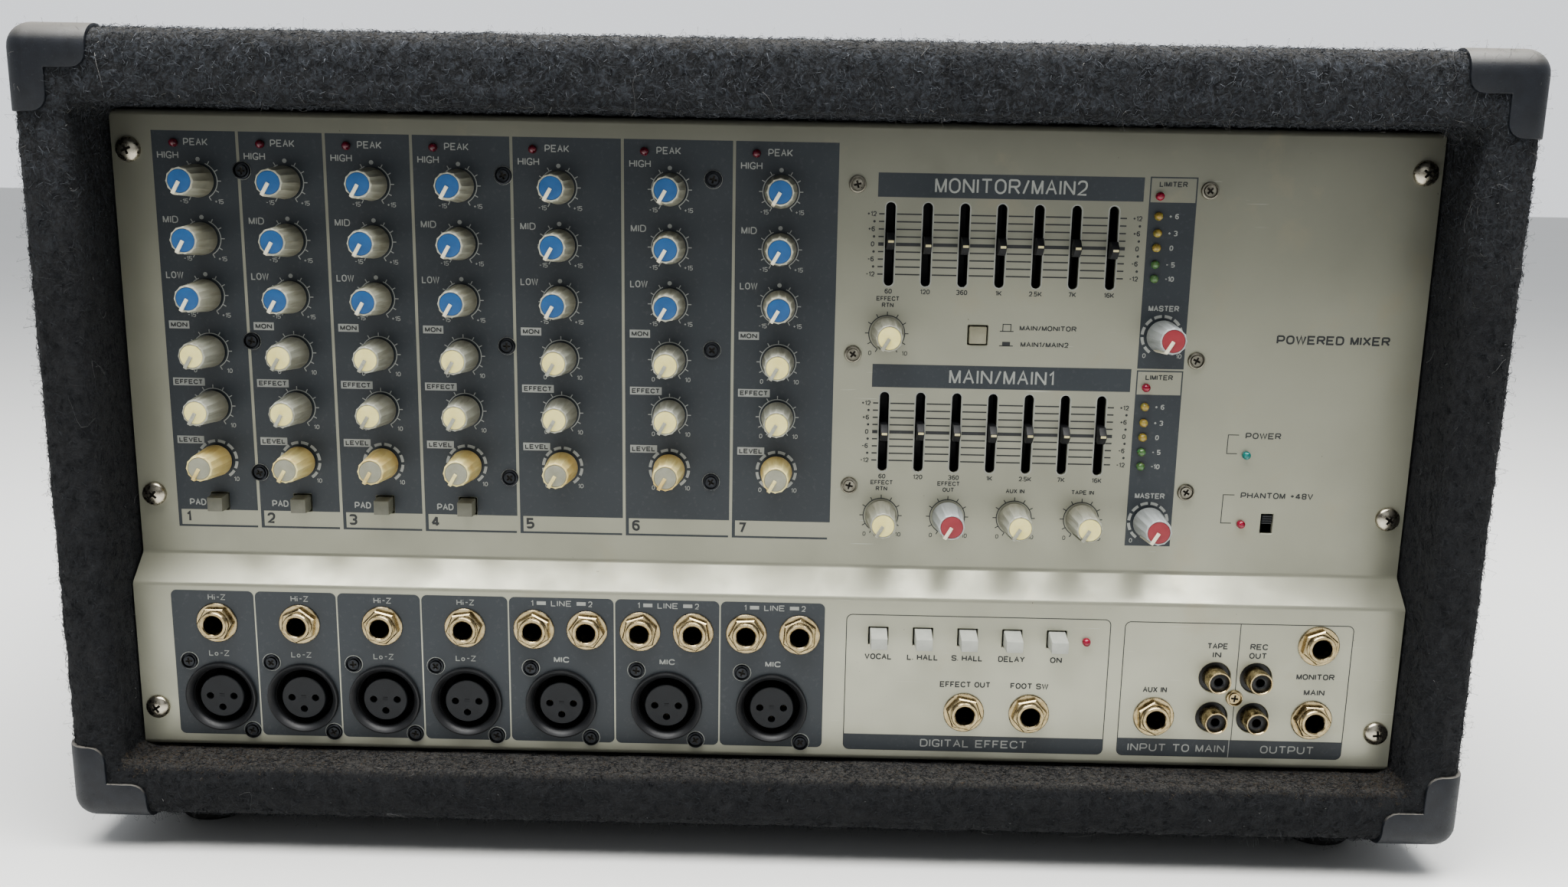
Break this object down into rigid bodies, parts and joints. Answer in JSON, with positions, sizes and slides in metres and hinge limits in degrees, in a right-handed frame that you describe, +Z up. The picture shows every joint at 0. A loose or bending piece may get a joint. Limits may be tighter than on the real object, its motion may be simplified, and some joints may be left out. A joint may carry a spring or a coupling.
{
  "type": "powered mixer with graphic equalizer",
  "caption": "Carpet-covered powered audio mixer: channel strips of rotary knobs, two slider graphic equalizers, level meters and rows of input and output sockets.",
  "frame": {"origin": "middle of the footprint, on the surface the feet stand on", "axes": "+Z up, +X to the operator's right along the width, -Y towards the operator"},
  "size_m": [0.485, 0.266, 0.2805],
  "materials": {
    "carpeted_plywood": "charcoal felt carpet glued over plywood",
    "panel_paint": "warm silver-grey semi-matte paint with dark printed blocks",
    "black_steel": "fine black powder coat",
    "zinc_steel": "zinc plated sheet",
    "circuit_board": "green solder mask",
    "sockets": "black plastic socket bodies with plated nuts and contacts",
    "heatsink_aluminium": "extruded, satin",
    "transformer_core": "wound core under polyester tape",
    "black_plastic": "fine moulded texture",
    "cream_cap_knob": "grey ribbed body with a cream cap",
    "level_knob": "yellowed cream ribbed body with a grey cap",
    "red_cap_knob": "grey ribbed body with a red cap",
    "beige_button": "satin moulded plastic",
    "grey_button": "satin moulded plastic",
    "light_grey_key": "satin moulded plastic"
  },
  "bodies": {
    "console": {"cabinet": "carpeted_plywood", "front_panel": "panel_paint", "rear_panel": "black_steel", "chassis_tray": "zinc_steel", "channel_board": "circuit_board", "equalizer_board": "circuit_board", "input_socket_board": "sockets", "output_socket_board": "sockets", "amplifier_heatsink": "heatsink_aluminium", "amplifier_board": "circuit_board", "supply_board": "circuit_board", "power_transformer": "transformer_core", "mains_inlet": "black_plastic"},
    "main_eq_fader_1": {"main_eq_fader_1": "black_plastic"},
    "main_eq_fader_7": {"main_eq_fader_7": "black_plastic"},
    "monitor_eq_fader_1": {"monitor_eq_fader_1": "black_plastic"},
    "monitor_eq_fader_7": {"monitor_eq_fader_7": "black_plastic"},
    "main_master_knob": {"main_master_knob": "red_cap_knob"},
    "ch1_level_knob": {"ch1_level_knob": "level_knob"},
    "ch1_effect_knob": {"ch1_effect_knob": "cream_cap_knob"},
    "pad_button_1": {"pad_button_1": "grey_button"},
    "main_monitor_button": {"main_monitor_button": "beige_button"},
    "effect_key_1": {"effect_key_1": "light_grey_key"},
    "phantom_switch": {"phantom_switch": "black_plastic"},
    "power_rocker": {"power_rocker": "black_plastic"},
    "monitor_master_knob": {"monitor_master_knob": "red_cap_knob"},
    "main_effect_return_knob": {"main_effect_return_knob": "cream_cap_knob"},
    "monitor_effect_return_knob": {"monitor_effect_return_knob": "cream_cap_knob"},
    "effect_out_knob": {"effect_out_knob": "red_cap_knob"},
    "aux_in_knob": {"aux_in_knob": "cream_cap_knob"},
    "tape_in_knob": {"tape_in_knob": "cream_cap_knob"},
    "effect_key_5": {"effect_key_5": "light_grey_key"},
    "pad_button_4": {"pad_button_4": "grey_button"},
    "ch2_effect_knob": {"ch2_effect_knob": "cream_cap_knob"},
    "ch2_level_knob": {"ch2_level_knob": "level_knob"},
    "ch3_effect_knob": {"ch3_effect_knob": "cream_cap_knob"},
    "ch3_level_knob": {"ch3_level_knob": "level_knob"},
    "ch4_effect_knob": {"ch4_effect_knob": "cream_cap_knob"},
    "ch4_level_knob": {"ch4_level_knob": "level_knob"},
    "ch5_effect_knob": {"ch5_effect_knob": "cream_cap_knob"},
    "ch5_level_knob": {"ch5_level_knob": "level_knob"},
    "ch6_effect_knob": {"ch6_effect_knob": "cream_cap_knob"},
    "ch6_level_knob": {"ch6_level_knob": "level_knob"},
    "ch7_effect_knob": {"ch7_effect_knob": "cream_cap_knob"},
    "ch7_level_knob": {"ch7_level_knob": "level_knob"},
    "main_eq_fader_2": {"main_eq_fader_2": "black_plastic"},
    "monitor_eq_fader_2": {"monitor_eq_fader_2": "black_plastic"},
    "main_eq_fader_3": {"main_eq_fader_3": "black_plastic"},
    "monitor_eq_fader_3": {"monitor_eq_fader_3": "black_plastic"},
    "main_eq_fader_4": {"main_eq_fader_4": "black_plastic"},
    "monitor_eq_fader_4": {"monitor_eq_fader_4": "black_plastic"},
    "main_eq_fader_5": {"main_eq_fader_5": "black_plastic"},
    "monitor_eq_fader_5": {"monitor_eq_fader_5": "black_plastic"},
    "main_eq_fader_6": {"main_eq_fader_6": "black_plastic"},
    "monitor_eq_fader_6": {"monitor_eq_fader_6": "black_plastic"},
    "pad_button_2": {"pad_button_2": "grey_button"},
    "pad_button_3": {"pad_button_3": "grey_button"},
    "effect_key_2": {"effect_key_2": "light_grey_key"},
    "effect_key_3": {"effect_key_3": "light_grey_key"},
    "effect_key_4": {"effect_key_4": "light_grey_key"}
  },
  "joints": [
    {"name": "main_eq_fader_1_slide", "type": "slide", "parent": "console", "child": "main_eq_fader_1", "axis": [0, 0, 1], "range_m": [-0.0103, 0.0097]},
    {"name": "main_eq_fader_7_slide", "type": "slide", "parent": "console", "child": "main_eq_fader_7", "axis": [0, 0, 1], "range_m": [-0.0107, 0.0093]},
    {"name": "monitor_eq_fader_1_slide", "type": "slide", "parent": "console", "child": "monitor_eq_fader_1", "axis": [0, 0, 1], "range_m": [-0.0112, 0.0088]},
    {"name": "monitor_eq_fader_7_slide", "type": "slide", "parent": "console", "child": "monitor_eq_fader_7", "axis": [0, 0, 1], "range_m": [-0.0095, 0.0105]},
    {"name": "main_master_turn", "type": "hinge", "parent": "console", "child": "main_master_knob", "pos_m": [0.1333, -0.1064, 0.1207], "axis": [0, 1, 0], "range_deg": [0, 300]},
    {"name": "ch1_level_turn", "type": "hinge", "parent": "console", "child": "ch1_level_knob", "pos_m": [-0.1937, -0.1064, 0.1362], "axis": [0, 1, 0], "range_deg": [0, 300]},
    {"name": "ch1_effect_turn", "type": "hinge", "parent": "console", "child": "ch1_effect_knob", "pos_m": [-0.1937, -0.1064, 0.1554], "axis": [0, 1, 0], "range_deg": [0, 300]},
    {"name": "pad_button_1_press", "type": "slide", "parent": "console", "child": "pad_button_1", "axis": [0, 1, 0], "range_m": [0, 0.003], "stiffness_N_per_m": 400},
    {"name": "main_monitor_button_latch", "type": "slide", "parent": "console", "child": "main_monitor_button", "axis": [0, -1, 0], "range_m": [0, 0.0035]},
    {"name": "effect_key_1_press", "type": "slide", "parent": "console", "child": "effect_key_1", "axis": [0, 1, 0], "range_m": [0, 0.003], "stiffness_N_per_m": 400},
    {"name": "phantom_switch_slide", "type": "slide", "parent": "console", "child": "phantom_switch", "axis": [0, 0, -1], "range_m": [0, 0.003]},
    {"name": "power_rocker_tip", "type": "hinge", "parent": "console", "child": "power_rocker", "pos_m": [-0.145, 0.1105, 0.075], "axis": [1, 0, 0], "range_deg": [0, 16]},
    {"name": "monitor_master_turn", "type": "hinge", "parent": "console", "child": "monitor_master_knob", "pos_m": [0.1333, -0.1064, 0.1862], "axis": [0, 1, 0], "range_deg": [0, 300]},
    {"name": "main_effect_return_turn", "type": "hinge", "parent": "console", "child": "main_effect_return_knob", "pos_m": [0.0394, -0.1064, 0.1211], "axis": [0, 1, 0], "range_deg": [0, 300]},
    {"name": "monitor_effect_return_turn", "type": "hinge", "parent": "console", "child": "monitor_effect_return_knob", "pos_m": [0.0394, -0.1064, 0.1853], "axis": [0, 1, 0], "range_deg": [0, 300]},
    {"name": "effect_out_turn", "type": "hinge", "parent": "console", "child": "effect_out_knob", "pos_m": [0.0628, -0.1064, 0.1211], "axis": [0, 1, 0], "range_deg": [0, 300]},
    {"name": "aux_in_turn", "type": "hinge", "parent": "console", "child": "aux_in_knob", "pos_m": [0.0862, -0.1064, 0.1211], "axis": [0, 1, 0], "range_deg": [0, 300]},
    {"name": "tape_in_turn", "type": "hinge", "parent": "console", "child": "tape_in_knob", "pos_m": [0.1098, -0.1064, 0.1211], "axis": [0, 1, 0], "range_deg": [0, 300]},
    {"name": "effect_key_5_press", "type": "slide", "parent": "console", "child": "effect_key_5", "axis": [0, 1, 0], "range_m": [0, 0.003], "stiffness_N_per_m": 400},
    {"name": "pad_button_4_press", "type": "slide", "parent": "console", "child": "pad_button_4", "axis": [0, 1, 0], "range_m": [0, 0.003], "stiffness_N_per_m": 400},
    {"name": "ch2_effect_turn", "type": "hinge", "parent": "console", "child": "ch2_effect_knob", "pos_m": [-0.1645, -0.1064, 0.1554], "axis": [0, 1, 0], "range_deg": [0, 300]},
    {"name": "ch2_level_turn", "type": "hinge", "parent": "console", "child": "ch2_level_knob", "pos_m": [-0.1645, -0.1064, 0.1362], "axis": [0, 1, 0], "range_deg": [0, 300]},
    {"name": "ch3_effect_turn", "type": "hinge", "parent": "console", "child": "ch3_effect_knob", "pos_m": [-0.1353, -0.1064, 0.1554], "axis": [0, 1, 0], "range_deg": [0, 300]},
    {"name": "ch3_level_turn", "type": "hinge", "parent": "console", "child": "ch3_level_knob", "pos_m": [-0.1353, -0.1064, 0.1362], "axis": [0, 1, 0], "range_deg": [0, 300]},
    {"name": "ch4_effect_turn", "type": "hinge", "parent": "console", "child": "ch4_effect_knob", "pos_m": [-0.1061, -0.1064, 0.1554], "axis": [0, 1, 0], "range_deg": [0, 300]},
    {"name": "ch4_level_turn", "type": "hinge", "parent": "console", "child": "ch4_level_knob", "pos_m": [-0.1061, -0.1064, 0.1362], "axis": [0, 1, 0], "range_deg": [0, 300]},
    {"name": "ch5_effect_turn", "type": "hinge", "parent": "console", "child": "ch5_effect_knob", "pos_m": [-0.0724, -0.1064, 0.1554], "axis": [0, 1, 0], "range_deg": [0, 300]},
    {"name": "ch5_level_turn", "type": "hinge", "parent": "console", "child": "ch5_level_knob", "pos_m": [-0.0724, -0.1064, 0.1362], "axis": [0, 1, 0], "range_deg": [0, 300]},
    {"name": "ch6_effect_turn", "type": "hinge", "parent": "console", "child": "ch6_effect_knob", "pos_m": [-0.035, -0.1064, 0.1554], "axis": [0, 1, 0], "range_deg": [0, 300]},
    {"name": "ch6_level_turn", "type": "hinge", "parent": "console", "child": "ch6_level_knob", "pos_m": [-0.035, -0.1064, 0.1362], "axis": [0, 1, 0], "range_deg": [0, 300]},
    {"name": "ch7_effect_turn", "type": "hinge", "parent": "console", "child": "ch7_effect_knob", "pos_m": [0.0024, -0.1064, 0.1554], "axis": [0, 1, 0], "range_deg": [0, 300]},
    {"name": "ch7_level_turn", "type": "hinge", "parent": "console", "child": "ch7_level_knob", "pos_m": [0.0024, -0.1064, 0.1362], "axis": [0, 1, 0], "range_deg": [0, 300]},
    {"name": "main_eq_fader_2_slide", "type": "slide", "parent": "console", "child": "main_eq_fader_2", "axis": [0, 0, 1], "range_m": [-0.0107, 0.0093]},
    {"name": "monitor_eq_fader_2_slide", "type": "slide", "parent": "console", "child": "monitor_eq_fader_2", "axis": [0, 0, 1], "range_m": [-0.01, 0.01]},
    {"name": "main_eq_fader_3_slide", "type": "slide", "parent": "console", "child": "main_eq_fader_3", "axis": [0, 0, 1], "range_m": [-0.0106, 0.0094]},
    {"name": "monitor_eq_fader_3_slide", "type": "slide", "parent": "console", "child": "monitor_eq_fader_3", "axis": [0, 0, 1], "range_m": [-0.01, 0.01]},
    {"name": "main_eq_fader_4_slide", "type": "slide", "parent": "console", "child": "main_eq_fader_4", "axis": [0, 0, 1], "range_m": [-0.0104, 0.0096]},
    {"name": "monitor_eq_fader_4_slide", "type": "slide", "parent": "console", "child": "monitor_eq_fader_4", "axis": [0, 0, 1], "range_m": [-0.01, 0.01]},
    {"name": "main_eq_fader_5_slide", "type": "slide", "parent": "console", "child": "main_eq_fader_5", "axis": [0, 0, 1], "range_m": [-0.0105, 0.0095]},
    {"name": "monitor_eq_fader_5_slide", "type": "slide", "parent": "console", "child": "monitor_eq_fader_5", "axis": [0, 0, 1], "range_m": [-0.0103, 0.0097]},
    {"name": "main_eq_fader_6_slide", "type": "slide", "parent": "console", "child": "main_eq_fader_6", "axis": [0, 0, 1], "range_m": [-0.0106, 0.0094]},
    {"name": "monitor_eq_fader_6_slide", "type": "slide", "parent": "console", "child": "monitor_eq_fader_6", "axis": [0, 0, 1], "range_m": [-0.01, 0.01]},
    {"name": "pad_button_2_press", "type": "slide", "parent": "console", "child": "pad_button_2", "axis": [0, 1, 0], "range_m": [0, 0.003], "stiffness_N_per_m": 400},
    {"name": "pad_button_3_press", "type": "slide", "parent": "console", "child": "pad_button_3", "axis": [0, 1, 0], "range_m": [0, 0.003], "stiffness_N_per_m": 400},
    {"name": "effect_key_2_press", "type": "slide", "parent": "console", "child": "effect_key_2", "axis": [0, 1, 0], "range_m": [0, 0.003], "stiffness_N_per_m": 400},
    {"name": "effect_key_3_press", "type": "slide", "parent": "console", "child": "effect_key_3", "axis": [0, 1, 0], "range_m": [0, 0.003], "stiffness_N_per_m": 400},
    {"name": "effect_key_4_press", "type": "slide", "parent": "console", "child": "effect_key_4", "axis": [0, 1, 0], "range_m": [0, 0.003], "stiffness_N_per_m": 400}
  ]
}
